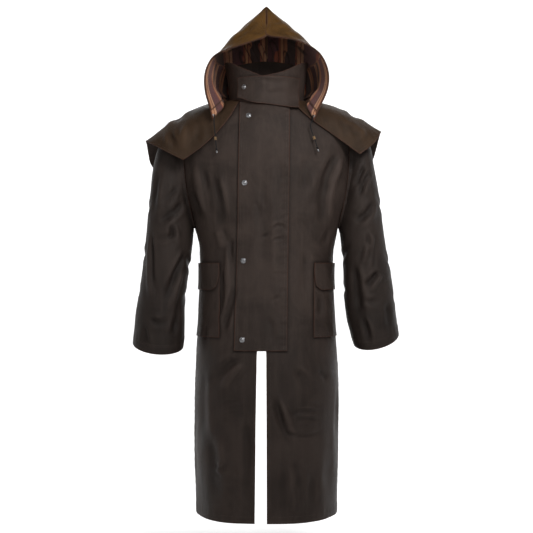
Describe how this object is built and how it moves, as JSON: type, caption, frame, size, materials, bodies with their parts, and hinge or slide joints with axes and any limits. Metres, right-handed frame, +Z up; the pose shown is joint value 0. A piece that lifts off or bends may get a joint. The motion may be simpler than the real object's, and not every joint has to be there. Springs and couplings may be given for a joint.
{
  "type": "duster coat",
  "caption": "Long hooded duster coat, filled out and hollow, with a shoulder cape, snapped storm fly, flap pockets, pointed hood and open back vent.",
  "frame": {"origin": "middle of the neck opening, level with the front neck seam, where the wearer's shoulders carry the coat", "axes": "+Z up, the coat's front faces -Y, +X is the picture's right (the wearer's left)"},
  "size_m": [0.749, 0.3386, 1.436],
  "materials": {
    "body_cotton": "waxed",
    "sleeve_cotton": "waxed",
    "cape_cotton": "waxed",
    "hood_cotton": "waxed",
    "striped_lining": "brushed",
    "cord": "braided",
    "toggle_leather": "matte",
    "nickel": "polished"
  },
  "bodies": {
    "root": {"front_right": "body_cotton", "back_right": "body_cotton", "pocket_right": "body_cotton", "pocket_flap_right": "body_cotton", "sleeve_right": "sleeve_cotton", "hood_right": "hood_cotton", "hood_lining_right": "striped_lining", "eyelet_right": "nickel", "drawcord_right": "cord", "cord_knot_right": "cord", "cord_toggle_right": "toggle_leather", "cord_bead_right": "nickel", "front_left": "body_cotton", "back_left": "body_cotton", "pocket_left": "body_cotton", "pocket_flap_left": "body_cotton", "sleeve_left": "sleeve_cotton", "hood_left": "hood_cotton", "hood_lining_left": "striped_lining", "eyelet_left": "nickel", "drawcord_left": "cord", "cord_knot_left": "cord", "cord_toggle_left": "toggle_leather", "cord_bead_left": "nickel", "cape": "cape_cotton", "collar": "body_cotton", "throat_tab": "body_cotton", "storm_fly": "body_cotton", "snap_throat": "nickel", "snap_fly_1": "nickel", "snap_fly_2": "nickel", "snap_fly_3": "nickel", "snap_fly_4": "nickel"}
  },
  "joints": []
}
